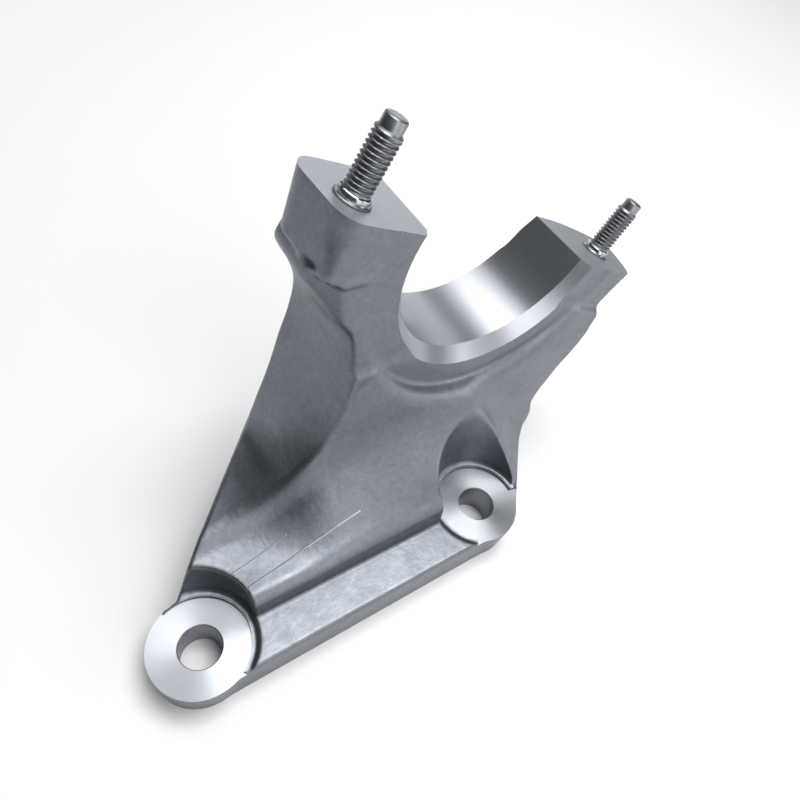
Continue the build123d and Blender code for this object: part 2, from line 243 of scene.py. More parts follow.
foot = rmax(flare, wall + 0 * flare, 3.4)
foot = rmin(foot, Z - STRIP_TOP + 0 * foot, 0.55)
foot = rmax(foot, flank_r, 2.2)
foot = rmax(foot, plan_d, 0.7)
foot = np.maximum(foot, Z - 62.0)
zf = np.minimum(Z, 27.0)
flank_l = None
for spec in (LEFT_FRONT, LEFT_REAR):
    (lx, ly), n2, _ = left_line(spec, LEFT_Z)
    f = ((X - lx) * n2[0] + (Y - ly) * n2[1]) * math.cos(ld) + (zf - LEFT_Z) * math.sin(ld)
    flank_l = f if flank_l is None else rmax(flank_l, f, 6.0)
del dy, dz, ang, cyl, leanp, flat0

# ------------------------------------------------------------------ web: outline in XZ
cx3 = C_T * (X - AX) - S_T * (Z - AZ)          # clamp coordinates
cz3 = S_T * (X - AX) + C_T * (Z - AZ)
right_edge = catmull([(79.2, -4), (79.4, 10.5), (79.7, 17.0), (80.2, 21.8), (81.2, 25.3), (82.2, 29.0), (83.3, 32.5),
                      (84.8, 35.5), (86.1, 38.7), (87.3, 41.8), (88.1, 45.1), (88.8, 48.3), (89.6, 51.5),
                      (91.4, 57.5), (93.6, 64.0)], 4)
web_poly = [(-60, -4)] + [tuple(p) for p in right_edge] + [G(70, 0, 8)[::2], G(-75, 0, 8)[::2], (-60, 60)]
px2, pz2 = gx[:, None] + 0 * gz[None, :], 0 * gx[:, None] + gz[None, :]
web2 = poly_sdf(px2, pz2, web_poly)[:, None, :]
web_front = np.where(Z < 45.8, WEB_Y + 0.1 - Y,
                     (WEB_Y + 0.1 + np.clip((Z - 45.8) / 20.2, 0, 1) * 1.7 - Y)).astype(np.float32)
web = rmax(web2 + 0 * web_front, web_front, 1.3)
top_l = cz3 + EAR_DEPTH - 3.0 * np.clip((X + 0.5) / 4.0, 0, 1)
web = np.where(X > 50, rmax(web, cz3 + EAR_DEPTH, 2.0), rmax(web, top_l, 0.3)).astype(np.float32)
b0, b1, b2 = (np.array(G(-51.2, 4.95, -EAR_DEPTH)), np.array(G(-46.1, 0.78, -EAR_DEPTH)), np.array([1.8, 23.0, 77.0]))
bn = np.cross(b1 - b0, b2 - b0)
bn /= np.linalg.norm(bn)
if bn[1] > 0:
    bn = -bn
bevel = (X - b0[0]) * bn[0] + (Y - b0[1]) * bn[1] + (Z - b0[2]) * bn[2]
bevel = np.where(X < 14, bevel, -30).astype(np.float32)
web = np.where(Z > 70, rmax(web, bevel, 0.7), web)
web = rmax(web, flare, 0.5)

body = rmin(foot, web, 4.0)
body = rmax(body, flank_l, 1.3)

# ------------------------------------------------------------------ scoop: ruled between a near and a far profile
LOW_NEAR = [(-90, 21.0), (-55, 21.6), (-42, 22.2), (-35, 22.9), (-29, 23.7), (-24, 24.7), (-18, 26.8),
            (-12.2, 30.2), (-7.3, 34.9), (-2.6, 40.4), (0.8, 47.0), (3.2, 54.0), (4.6, 62.0),
            (4.4, 70.0), (3.0, 76.6)]
LOW_FAR = [(-90, 20.6), (-55, 21.0), (-42, 21.3), (-35, 21.5), (-29, 21.7), (-24, 21.9), (-17.4, 22.3),
           (-12.2, 23.6), (-9.2, 27.8), (-6.8, 36.0), (-4.8, 43.4), (-3.2, 50.6), (-1.8, 57.6),
           (-0.1, 64.3), (0.9, 71.0)]
HIGH_NEAR = [(-0.8, 81.5), (-3.5, 85.8), (-6.1, 89.7), (-8.2, 92.4), (-7.4, 95.6), (-7.4, 125.0)]
HIGH_FAR = [(0.8, 75.6), (-1.2, 81.2), (-3.4, 85.4), (-4.2, 88.2), (-2.5, 91.7), (-2.5, 125.0)]
near = catmull(LOW_NEAR[1:] + HIGH_NEAR[:-1], 4)
far = catmull(LOW_FAR[1:] + HIGH_FAR[:-1], 4)
sel = gx < 32
air = np.full((len(gx), len(gy), len(gz)), -60.0, np.float32)
spx, spz = px2[sel], pz2[sel]
js = [j for j, y in enumerate(gy) if y > -6]
step_j = 3
keys = sorted(set(js[::step_j] + [js[-1]]))
prev = None
for j in keys:
    k = (gy[j] - NY) / SADDLE_W
    line = near + k * (far - near)
    pts = [(-95, line[0][1])] + [tuple(p) for p in line] + [(line[-1][0], 130), (-95, 130)]
    d = -poly_sdf(spx, spz, pts)
    air[sel, j] = d
    if prev is not None:
        for jj in range(prev + 1, j):
            f = (jj - prev) / (j - prev)
            air[sel, jj] = (1 - f) * air[sel, prev] + f * d
    prev = j
for j in range(js[0]):
    air[sel, j] = air[sel, js[0]]
body = rmax(body, air, 1.2)
del air

# ------------------------------------------------------------------ ears, sampled from a small grid in clamp coordinates
hs = 0.7


def left_outline(z):
    d = -0.23 * z
    r = 5.0 - 2.8 * min(max((-5.0 - z) / 7.0, 0), 1)     # the corner is fuller lower down
    return rounded([(-53.7 + d, 1.2), (-20.0, 1.2), (-20.0, 23.5), (-31.0, 23.4), (-54.9 + d, 21.9)],
                   [r, 0, 0, 0, 6.2])


TOP_R = [(20.0, 0.0), (54.2, 0.1), (56.6, 2.2), (58.8, 6.2), (60.7, 10.4), (61.1, 12.6), (60.2, 14.6),
         (58.2, 16.4), (54.5, 18.3), (50.3, 19.7), (42.4, 21.6), (31.2, 22.3), (20.0, 22.4)]
RIGHT = [
    (3.0, TOP_R),
    (0.0, TOP_R),
    (-6.0, [(20.0, 0.0), (52.7, 0.1), (55.3, 2.2), (57.5, 6.2), (59.3, 10.4), (59.7, 12.8), (59.0, 15.0),
            (57.1, 17.2), (54.0, 19.5), (49.8, 21.3), (42.2, 23.4), (31.2, 24.0), (20.0, 24.0)]),
    (-EAR_DEPTH, [(20.0, 0.0), (51.8, 0.1), (54.5, 2.2), (56.7, 6.2), (58.5, 10.4), (58.9, 12.8),
                  (58.2, 15.2), (56.3, 17.6), (53.0, 19.9), (49.2, 21.6), (42.0, 23.4), (31.2, 24.0),
                  (20.0, 24.0)]),
    (-36.0, [(20.0, 0.6), (50.6, 0.7), (53.0, 2.6), (54.4, 6.2), (55.2, 10.4), (55.3, 12.8), (54.9, 15.4),
             (53.6, 18.0), (51.2, 20.3), (48.0, 21.9), (41.2, 23.5), (31.2, 24.0), (20.0, 24.0)])]


def right_outline(z):
    zs = [r[0] for r in RIGHT]
    z = min(max(z, zs[-1]), zs[0])
    for (z0, a), (z1, b) in zip(RIGHT, RIGHT[1:]):
        if z <= z0 and z >= z1:
            t = (z0 - z) / (z0 - z1)
            a, b = np.array(a), np.array(b)
            p = a + t * (b - a)
            smooth = catmull(p[1:-1], 4)
            return [tuple(p[0])] + [tuple(q) for q in smooth] + [tuple(p[-1])]


def ear_grid(outline, x0, x1, z0, z1, dzs):
    xs = np.arange(x0, x1 + hs, hs, dtype=np.float32)
    ys = np.arange(-4.0, 28.0 + hs, hs, dtype=np.float32)
    zs = np.arange(z0, z1 + dzs, dzs, dtype=np.float32)
    g = np.stack([poly_sdf(xs[:, None] + 0 * ys[None, :], 0 * xs[:, None] + ys[None, :], outline(float(z)))
                  for z in zs], axis=2)
    return g, (x0, -4.0, z0), (hs, hs, dzs)


gl, ol, sl = ear_grid(left_outline, -64.0, -18.0, -18.0, 4.0, 2.0)
gr, og, sr = ear_grid(right_outline, 18.0, 70.0, -38.0, 4.0, 2.0)


def region(x0, x1, z0, z1):
    i0, i1 = np.searchsorted(gx, [x0, x1])
    k0, k1 = np.searchsorted(gz, [z0, z1])
    return slice(i0, i1), slice(None), slice(k0, k1)


R = region(-14.0, 34.0, 76.0, 112.0)
bx = np.broadcast_to(cx3, body.shape)[R]
bz = np.broadcast_to(cz3, body.shape)[R]
by = np.broadcast_to(Y - NY, body.shape)[R]
ear = sample(gl, ol, sl, bx, by, bz)
ear = np.maximum(ear, -EAR_DEPTH - 1.0 - bz)
body[R] = vmin(body[R], ear, 0.001 + 0.5 * np.clip((3.0 - X[R[0]]) / 5.0, 0, 1))
# a soft bead along the ear's lower edge, behind its corner
path = [np.array(G(*q)) for q in ((-46.9, 2.2, -13.2), (-45.6, 1.75, -13.3), (-42.6, 1.7, -12.1), (-40.9, 2.0, -11.4))]
bead = None
for ba, bb in zip(path, path[1:]):
    be = bb - ba
    qx, qy, qz = X[R[0]] - ba[0], Y - ba[1], Z[:, :, R[2]] - ba[2]
    bt = np.clip((qx * be[0] + qy * be[1] + qz * be[2]) / (be @ be), 0, 1)
    d = np.sqrt((qx - be[0] * bt) ** 2 + (qy - be[1] * bt) ** 2 + (qz - be[2] * bt) ** 2)
    bead = d if bead is None else np.minimum(bead, d)
body[R] = rmin(body[R], bead - 1.0, 0.5)
R = region(56.0, 106.0, 40.0, 84.0)
bx = np.broadcast_to(cx3, body.shape)[R]
bz = np.broadcast_to(cz3, body.shape)[R]
by = np.broadcast_to(Y - NY, body.shape)[R]
ear = sample(gr, og, sr, bx, by, bz)
ear = np.maximum(ear, -37.0 - bz)
body[R] = rmin(body[R], ear, 2.0)
body = rmax(body, Y - BY, 1.3)
body = np.maximum(body, cz3 - 1.6)

# ------------------------------------------------------------------ clearance around the bore
rr = np.hypot(X - AX, Z - AZ)
cone = rr - (41.0 + (NY - Y) * 3.5 / 5.4)
pocket = rmax(cone + 0 * Y, Y - NY + 0 * rr, 0.6)
pocket = rmax(pocket, (NY - 12.0) - Y + 0 * rr, 0.5)
body = rmax(body, -pocket, 2.4)
del pocket, cone

# ------------------------------------------------------------------ bosses and the clearance around them
for sx in (-1, 1):
    rb = np.hypot(X - sx * HX, Y)
    if sx > 0:
        rim = np.interp(gz, [RELIEF_FLOOR, STRIP_TOP, RELIEF_TOP, 120.0],
                        [RELIEF_R0, RELIEF_RS, RELIEF_R1, RELIEF_R1]).astype(np.float32)[None, None, :]
        rel = rb - rim
    else:                                           # the clearance leans back here
        level, ldx, ldy, lrad = RELIEF_LEFT
        k = np.clip((Z - RELIEF_FLOOR) / (level - RELIEF_FLOOR), 0, 1)
        rel = np.hypot(X - sx * HX - ldx * k, Y - ldy * k) - (RELIEF_R0 + (lrad - RELIEF_R0) * k)
        rim = np.interp(gz, [RELIEF_FLOOR, STRIP_TOP], [RELIEF_R0, RELIEF_RS]).astype(np.float32)[None, None, :]
        rel = np.minimum(rel, rb - rim)
    rel = rmax(rel, RELIEF_FLOOR - Z + 0 * rb, 0.15)
    body = rmax(body, -rel, 0.4)
    rb = np.hypot(X - sx * (HX + BOSS_OFF[0]), Y - BOSS_OFF[1])
    boss = np.maximum(rb - (BOSS_R0 - 0.03 + (BOSS_R1 - BOSS_R0) * np.minimum(Z, PAD) / PAD), Z - RELIEF_FLOOR)
    body = rmin(body, boss, 0.3)

body = np.maximum(body, -1.9 - Z)               # the blank runs on below the mating plane


# ------------------------------------------------------------------ surface of the blank
def surface_nets(f):
    """closed quad mesh of f = 0, one vertex in each cell that the surface crosses"""
    n = f.shape
    s = f < 0
    c = s[:-1, :-1, :-1].astype(np.int8)
    tot = np.zeros(c.shape, np.int8)
    for a in (0, 1):
        for b in (0, 1):
            for d in (0, 1):
                tot += s[a:n[0] - 1 + a, b:n[1] - 1 + b, d:n[2] - 1 + d]
    cell = (tot > 0) & (tot < 8)
    idx = np.full(c.shape, -1, np.int32)
    ci = np.argwhere(cell)
    idx[cell] = np.arange(len(ci))
    acc = np.zeros((len(ci), 3))
    cnt = np.zeros(len(ci))
    corners = {(a, b, d): f[ci[:, 0] + a, ci[:, 1] + b, ci[:, 2] + d].astype(float)
               for a in (0, 1) for b in (0, 1) for d in (0, 1)}
    for ax in range(3):
        o = [q for q in range(3) if q != ax]
        for u in (0, 1):
            for v in (0, 1):
                p0 = [0, 0, 0]
                p0[o[0]], p0[o[1]] = u, v
                p1 = list(p0)
                p1[ax] = 1
                f0, f1 = corners[tuple(p0)], corners[tuple(p1)]
                hit = (f0 < 0) != (f1 < 0)
                t = np.where(hit, f0 / np.where(hit, f0 - f1, 1), 0)
                pos = np.array(p0, float)[None, :].repeat(len(ci), 0)
                pos[:, ax] = t
                acc[hit] += pos[hit]
                cnt[hit] += 1
    verts = ci + acc / cnt[:, None]
    quads = []
    for ax in range(3):
        o = [q for q in range(3) if q != ax]
        sl0 = [slice(1, n[q] - 1) for q in range(3)]
        sl1 = list(sl0)
        sl0[ax] = slice(0, n[ax] - 1)
        sl1[ax] = slice(1, n[ax])
        a, b = s[tuple(sl0)], s[tuple(sl1)]
        e = np.argwhere(a != b)
        neg = a[tuple(e.T)]
        base = e.copy()
        base[:, o[0]] += 1
        base[:, o[1]] += 1
        q = []
        for u, v in ((0, 0), (1, 0), (1, 1), (0, 1)):
            c2 = base.copy()
            c2[:, o[0]] -= u
            c2[:, o[1]] -= v
            q.append(idx[tuple(c2.T)])
        q = np.stack(q, 1)
        flip = neg if ax != 1 else ~neg
        q[~flip] = q[~flip][:, ::-1]
        quads.append(q)
    return verts, np.concatenate(quads)


V, Q = surface_nets(body)
print("blank", len(V), "vertices", len(Q), "quads")
Vmm = LO + V * H


def field(points):
    g = (points - LO) / H
    n = np.array(body.shape)
    g = np.clip(g, 0, n - 1.001)
    i = g.astype(np.int32)
    w = g - i
    out = 0
    for a in (0, 1):
        for b in (0, 1):
            for c in (0, 1):
                out = out + body[i[:, 0] + a, i[:, 1] + b, i[:, 2] + c] * (
                    (w[:, 0] if a else 1 - w[:, 0]) * (w[:, 1] if b else 1 - w[:, 1])
                    * (w[:, 2] if c else 1 - w[:, 2]))
    return out


def gradient(points, e):
    g = np.stack([field(points + np.eye(3)[k] * e) - field(points - np.eye(3)[k] * e) for k in range(3)], 1)
    return g / np.maximum(np.linalg.norm(g, axis=1, keepdims=True), 1e-9)


for _ in range(2):                              # settle the vertices on the surface
    Vmm = Vmm - np.clip(field(Vmm), -0.3, 0.3)[:, None] * gradient(Vmm, H * 0.75)


def make_mesh(name, verts, faces, smooth=True):
    me = bpy.data.meshes.new(name)
    verts = np.asarray(verts, np.float32)
    faces = np.asarray(faces, np.int32)
    k = faces.shape[1]
    me.vertices.add(len(verts))
    me.vertices.foreach_set("co", verts.ravel())
    me.loops.add(faces.size)
    me.loops.foreach_set("vertex_index", faces.ravel())
    me.polygons.add(len(faces))
    me.polygons.foreach_set("loop_start", np.arange(0, faces.size, k, dtype=np.int32))
    me.polygons.foreach_set("loop_total", np.full(len(faces), k, np.int32))
    me.update(calc_edges=True)
    me.validate()
    if smooth:
        me.polygons.foreach_set("use_smooth", np.ones(len(me.polygons), bool))
    return me


def add_object(name, me):
    ob = bpy.data.objects.new(name, me)
    bpy.context.scene.collection.objects.link(ob)
    return ob


def lathe(name, profile, seg, origin, axis):
    """closed turned mesh; profile is (radius, height) from the bottom to the top, both ends capped"""
    axis = Vector(axis).normalized()
    side = Vector((0, 1, 0)) if abs(axis.y) < 0.9 else Vector((1, 0, 0))
    u = side.cross(axis).normalized()
    v = axis.cross(u)
    verts, faces = [], []
    o = Vector(origin)
    for r, h in profile:
        for k in range(seg):
            t = 2 * math.pi * k / seg
            verts.append(tuple((o + axis * h + (u * math.cos(t) + v * math.sin(t)) * r) * MM))
    me = bpy.data.meshes.new(name)
    for i in range(len(profile) - 1):
        for k in range(seg):
            a, b = i * seg + k, i * seg + (k + 1) % seg
            faces.append((a, b, b + seg, a + seg))
    faces.append(tuple(range(seg))[::-1])
    faces.append(tuple((len(profile) - 1) * seg + k for k in range(seg)))
    me.from_pydata(verts, [], faces)
    me.update()
    return add_object(name, me)


def box_object(name, lo, hi, basis=None):
    vs = [(x, y, z) for x in (lo[0], hi[0]) for y in (lo[1], hi[1]) for z in (lo[2], hi[2])]
    if basis:
        vs = [basis(*v) for v in vs]
    me = bpy.data.meshes.new(name)
    me.from_pydata([tuple(c * MM for c in v) for v in vs], [],
                   [(0, 1, 3, 2), (4, 6, 7, 5), (0, 4, 5, 1), (2, 3, 7, 6), (0, 2, 6, 4), (1, 5, 7, 3)])
    me.update()
    return add_object(name, me)


def sector_object(name, centre, radius, a0, a1, z0, z1):
    n = 48
    ring = [centre] + [(centre[0] + radius * math.cos(math.radians(a0 + (a1 - a0) * i / n)),
                        centre[1] + radius * math.sin(math.radians(a0 + (a1 - a0) * i / n))) for i in range(n + 1)]
    m = len(ring)
    me = bpy.data.meshes.new(name)
    me.from_pydata([(x * MM, y * MM, z * MM) for z in (z0, z1) for x, y in ring], [],
                   [tuple(range(m))[::-1], tuple(range(m, 2 * m))]
                   + [(i, (i + 1) % m, m + (i + 1) % m, m + i) for i in range(m)])
    me.update()
    return add_object(name, me)


blank = add_object("bracket", make_mesh("bracket", Vmm * MM, Q))

UP = (S_T, 0, C_T)
cutters = [
    box_object("cut_clamp", (-90, -60, 0), (90, 60, 40), G),
    box_object("cut_base", (-120, -80, -30), (160, 90, 0)),
    lathe("cut_bore", [(BORE_R + BORE_CH, -20), (BORE_R + BORE_CH, 0), (BORE_R, BORE_CHW), (BORE_R, 40)],
          256, (AX, NY, AZ), (0, 1, 0)),
]
for sx in (-1, 1):
    cutters.append(lathe("cut_spot", [(SPOT_R + 0.02, PAD), (SPOT_R + 0.02, 40)], 160, (sx * HX, 0, 0), (0, 0, 1)))
    # on its outer side the boss is faced off to its edge
    a0, a1 = (112, 302) if sx < 0 else (-125, -5)
    cutters.append(sector_object("cut_face", (sx * HX, 0), 14.5, a0, a1, PAD, 14.0))
    cutters.append(lathe("cut_hole", [(HOLE_R, -6), (HOLE_R, PAD - 0.2), (HOLE_R + 0.4, PAD + 0.2)], 96,
                         (sx * HX, 0, 0), (0, 0, 1)))
    cutters.append(lathe("cut_stud", [(3.45, -11), (3.45, -0.45), (4.2, 0.3)], 64,
                         G(sx * STUD_X, STUD_Y, 0), UP))
for c in cutters:
    m = blank.modifiers.new("cut", "BOOLEAN")
    m.operation = "DIFFERENCE"
    m.solver = "MANIFOLD"
    m.object = c
dg = bpy.context.evaluated_depsgraph_get()
cut = bpy.data.meshes.new_from_object(blank.evaluated_get(dg))
blank.modifiers.clear()
old = blank.data
blank.data = cut
bpy.data.meshes.remove(old)
for c in cutters:
    me = c.data
    bpy.data.objects.remove(c)
    bpy.data.meshes.remove(me)
me = blank.data
print("cut", len(me.vertices), len(me.polygons))

# ------------------------------------------------------------------ split the faces by finish
nv, nf, nl_ = len(me.vertices), len(me.polygons), len(me.loops)
co = np.empty(nv * 3, np.float32); me.vertices.foreach_get("co", co); co = co.reshape(-1, 3).astype(float) / MM
fn = np.empty(nf * 3, np.float32); me.polygons.foreach_get("normal", fn); fn = fn.reshape(-1, 3)
fc = np.empty(nf * 3, np.float32); me.polygons.foreach_get("center", fc); fc = fc.reshape(-1, 3) / MM
ls = np.empty(nf, np.int32); me.polygons.foreach_get("loop_start", ls)
lt = np.empty(nf, np.int32); me.polygons.foreach_get("loop_total", lt)
lv = np.empty(nl_, np.int32); me.loops.foreach_get("vertex_index", lv)
lf = np.repeat(np.arange(nf), lt)

SKIN, CLAMP, SPOT, BORE, HOLE, BASE = range(6)
klass = np.full(nf, SKIN)
czf = S_T * (fc[:, 0] - AX) + C_T * (fc[:, 2] - AZ)
rbf = np.hypot(fc[:, 0] - AX, fc[:, 2] - AZ)
klass[(np.abs(czf) < 0.01) & (fn @ np.array(UP) > 0.99)] = CLAMP
klass[(np.abs(fc[:, 2]) < 0.01) & (fn[:, 2] < -0.99)] = BASE
radial = -((fc[:, 0] - AX) * fn[:, 0] + (fc[:, 2] - AZ) * fn[:, 2]) / np.maximum(rbf, 1e-6)
vr = np.hypot(co[:, 0] - AX, co[:, 2] - AZ)
vy = co[:, 1]
on_bore = (np.abs(vr - BORE_R) < 0.012) & (vy > NY + BORE_CHW - 0.02)
on_cham = np.abs(vr - (BORE_R + BORE_CH * (1 - (vy - NY) / BORE_CHW))) < 0.012
on_cham &= (vy > NY - 0.02) & (vy < NY + BORE_CHW + 0.02)
allb = np.minimum.reduceat(on_bore[lv].astype(int), ls) > 0
allc = np.minimum.reduceat((on_cham | on_bore)[lv].astype(int), ls) > 0
klass[allb & (radial > 0.95)] = BORE
klass[allc & ~allb & (radial > 0.4)] = BORE
for sx in (-1, 1):
    rf = np.hypot(fc[:, 0] - sx * HX, fc[:, 1])
    klass[(np.abs(fc[:, 2] - PAD) < 0.01) & (fn[:, 2] > 0.99) & (rf < 14.6)] = SPOT
    vr2 = np.hypot(co[:, 0] - sx * HX, co[:, 1]) < HOLE_R + 0.45
    klass[(np.minimum.reduceat(vr2[lv].astype(int), ls) > 0) & (np.abs(fn[:, 2]) < 0.9)
          & (fc[:, 2] < PAD + 0.01)] = HOLE
    # stud holes
    w = fc - np.array(G(sx * STUD_X, STUD_Y, 0))
    hgt = w @ np.array(UP)
    rad = np.linalg.norm(w - hgt[:, None] * np.array(UP), axis=1)
    klass[(rad < 4.3) & (hgt < -0.01) & (hgt > -11.5)] = HOLE

# normals: from the field on the cast skin, exact on what a tool has cut
vn = gradient(co, H * 0.9)
ln = vn[lv]
kl = klass[lf]
m = (kl == CLAMP) | (kl == SPOT) | (kl == BASE) | (kl == HOLE)
ln[m] = fn[lf[m]]
m = kl == BORE
pv = co[lv[m]]
rad = np.stack([AX - pv[:, 0], np.zeros(len(pv)), AZ - pv[:, 2]], 1)
rad /= np.linalg.norm(rad, axis=1, keepdims=True)
ch = np.repeat(allc & ~allb, lt)[m]
a = math.atan2(BORE_CH, BORE_CHW)
cham_n = rad * math.cos(a) + np.array([0, -math.sin(a), 0])
ln[m] = np.where(ch[:, None], cham_n, rad)
# a cast face far from its field's normal keeps its own
dev = (ln * fn[lf]).sum(1)
bad = (kl == SKIN) & (dev < 0.55)
ln[bad] = fn[lf[bad]]
for sx in (-1, 1):                               # round walls of the bolt holes
    hm = kl == HOLE
    pv = co[lv]
    near_h = hm & (np.hypot(pv[:, 0] - sx * HX, pv[:, 1]) < HOLE_R + 0.06) & (np.abs(fn[lf][:, 2]) < 0.2)
    w = np.stack([sx * HX - pv[:, 0], -pv[:, 1], 0 * pv[:, 0]], 1)
    w /= np.maximum(np.linalg.norm(w, axis=1, keepdims=True), 1e-9)
    ln[near_h] = w[near_h]
me.polygons.foreach_set("use_smooth", np.ones(nf, bool))
me.polygons.foreach_set("material_index", klass.astype(np.int32))
me.update()
me.normals_split_custom_set(ln.astype(np.float32))


# ------------------------------------------------------------------ materials
class Tree:
    def __init__(self, name):
        self.mat = bpy.data.materials.new(name)
        self.mat.use_nodes = True
        self.t = self.mat.node_tree
        self.b = self.t.nodes["Principled BSDF"]
        self.coord = self.t.nodes.new("ShaderNodeTexCoord")

    def node(self, kind, **kw):
        n = self.t.nodes.new(kind)
        for k, v in kw.items():
            setattr(n, k, v)
        return n

    def link(self, a, b):
        self.t.links.new(a, b)

    def noise(self, scale, detail=3.0, rough=0.5, vec=None, distort=0.0):
        n = self.node("ShaderNodeTexNoise")
        n.inputs["Scale"].default_value = scale
        n.inputs["Detail"].default_value = detail
        n.inputs["Roughness"].default_value = rough
        n.inputs["Distortion"].default_value = distort
        self.link(vec or self.coord.outputs["Object"], n.inputs["Vector"])
        return n.outputs["Fac"]

    def ramp(self, fac, stops):
        r = self.node("ShaderNodeValToRGB")
        while len(r.color_ramp.elements) < len(stops):
            r.color_ramp.elements.new(0.5)
        for e, (p, c) in zip(r.color_ramp.elements, stops):
            e.position = p
            e.color = (*c, 1) if len(c) == 3 else c
        self.link(fac, r.inputs["Fac"])
        return r.outputs["Color"]

    def remap(self, fac, a, b, c, d):
        r = self.node("ShaderNodeMapRange")
        for k, v in zip(("From Min", "From Max", "To Min", "To Max"), (a, b, c, d)):
            r.inputs[k].default_value = v
        self.link(fac, r.inputs["Value"])
        return r.outputs["Result"]

    def math(self, op, a, b=None):
        n = self.node("ShaderNodeMath", operation=op)
        for k, v in enumerate((a, b)):
            if v is None:
                continue
            if isinstance(v, (int, float)):
                n.inputs[k].default_value = v
            else:
                self.link(v, n.inputs[k])
        return n.outputs[0]

    def vmath(self, op, a, b=None):
        n = self.node("ShaderNodeVectorMath", operation=op)
        for k, v in enumerate((a, b)):
            if v is None:
                continue
            if isinstance(v, tuple):
                n.inputs[k].default_value = v
            else:
                self.link(v, n.inputs[k])
        return n.outputs["Value"] if op == "LENGTH" else n.outputs[0]

    def mix(self, fac, a, b, blend="MIX"):
        n = self.node("ShaderNodeMix", data_type="RGBA", blend_type=blend)
        if isinstance(fac, float):
            n.inputs["Factor"].default_value = fac
        else:
            self.link(fac, n.inputs["Factor"])
        for k, v in (("A", a), ("B", b)):
            s = [i for i in n.inputs if i.name == k and i.type == "RGBA"][0]
            if isinstance(v, tuple):
                s.default_value = (*v, 1)
            else:
                self.link(v, s)
        return [o for o in n.outputs if o.type == "RGBA"][0]

    def bump(self, height, strength, distance, normal=None):
        n = self.node("ShaderNodeBump")
        n.inputs["Strength"].default_value = strength
        n.inputs["Distance"].default_value = distance
        self.link(height, n.inputs["Height"])
        if normal is not None:
            self.link(normal, n.inputs["Normal"])
        return n.outputs["Normal"]


# fine raised lines left by the mould on the slope above the foot, with a painted highlight (paler base colour) along
# them: ends, half width and height, mm
RAISED_LINES_PAINTED_HIGHLIGHT = [((4.5, 8.0, 20.5), (-12.0, 7.0, 20.6), 0.34, 1.0), ((-12.0, 7.0, 20.6), (-28.0, 4.6, 20.4), 0.28, 0.75),
               ((-14.5, 12.0, 22.4), (-30.0, 9.5, 21.6), 0.25, 0.45)]


def line_mark(t, a, b, wide):
    """1 on a straight line seen from above, falling to 0 at its half width and its ends"""
    A = (a[0] * MM, a[1] * MM, 0.0)
    E = ((b[0] - a[0]) * MM, (b[1] - a[1]) * MM, 0.0)
    L2 = E[0] ** 2 + E[1] ** 2
    p = t.vmath("SUBTRACT", t.vmath("MULTIPLY", t.coord.outputs["Object"], (1, 1, 0)), A)
    dot = t.node("ShaderNodeVectorMath", operation="DOT_PRODUCT")
    t.link(p, dot.inputs[0])
    dot.inputs[1].default_value = (E[0] / L2, E[1] / L2, 0.0)
    k = t.math("MINIMUM", t.math("MAXIMUM", dot.outputs["Value"], 0.0), 1.0)
    comb = t.node("ShaderNodeCombineXYZ")
    for i in range(3):
        t.link(k, comb.inputs[i])
    d = t.vmath("LENGTH", t.vmath("SUBTRACT", p, t.vmath("MULTIPLY", comb.outputs[0], E)))
    m = t.node("ShaderNodeMapRange", interpolation_type="SMOOTHSTEP")
    for key, v in zip(("From Min", "From Max", "To Min", "To Max"), (0.0, wide * MM, 1.0, 0.0)):
        m.inputs[key].default_value = v
    t.link(d, m.inputs["Value"])
    sep = t.node("ShaderNodeSeparateXYZ")
    t.link(t.coord.outputs["Object"], sep.inputs[0])
    low = t.math("GREATER_THAN", sep.outputs[2], 0.0165)
    return t.math("MULTIPLY", t.math("MULTIPLY", m.outputs["Result"], low), t.math("LESS_THAN", sep.outputs[2], 0.030))


def skin_material():
    t = Tree("cast_skin")
    b = t.b
    fine = t.noise(2600, 4, 0.62)
    mid = t.noise(620, 3, 0.55)
    broad = t.noise(42, 4, 0.6)
    blot = t.noise(130, 3, 0.6, distort=0.6)
    col = t.ramp(broad, [(0.3, (0.168, 0.180, 0.203)), (0.5, (0.182, 0.195, 0.219)), (0.72, (0.197, 0.211, 0.235))])
    grain = t.ramp(mid, [(0.34, (0.86, 0.86, 0.87)), (0.55, (1.0, 1.0, 1.0)), (0.72, (1.12, 1.12, 1.12))])
    col = t.mix(0.7, col, grain, "MULTIPLY")
    # small pale flecks where the blasted skin catches the light
    fleck = t.ramp(t.noise(1500, 2, 0.5), [(0.66, (0, 0, 0)), (0.74, (1, 1, 1))])
    col = t.mix(t.math("MULTIPLY", fleck, 0.30), col, (0.40, 0.42, 0.45))
    t.link(col, b.inputs["Base Color"])
    b.inputs["Metallic"].default_value = 0.92
    t.link(t.remap(blot, 0.3, 0.7, 0.37, 0.46), b.inputs["Roughness"])
    h = t.math("ADD", t.math("MULTIPLY", fine, 0.45), t.math("MULTIPLY", mid, 0.8))
    n = t.bump(h, 0.30, 0.00022)
    marks = None
    for a, b_, wide, tall in RAISED_LINES_PAINTED_HIGHLIGHT:
        f = t.math("MULTIPLY", line_mark(t, a, b_, wide), tall)
        marks = f if marks is None else t.math("MAXIMUM", marks, f)
    n = t.bump(marks, 0.5, 0.0003, n)
    # painted highlight: the base colour is made paler along the raised lines
    col = t.mix(t.math("MULTIPLY", marks, 0.45), col, (0.50, 0.52, 0.55))
    t.link(col, b.inputs["Base Color"])
    n = t.bump(t.noise(210, 2, 0.5), 0.16, 0.0006, n)
    t.link(n, b.inputs["Normal"])
    return t.mat


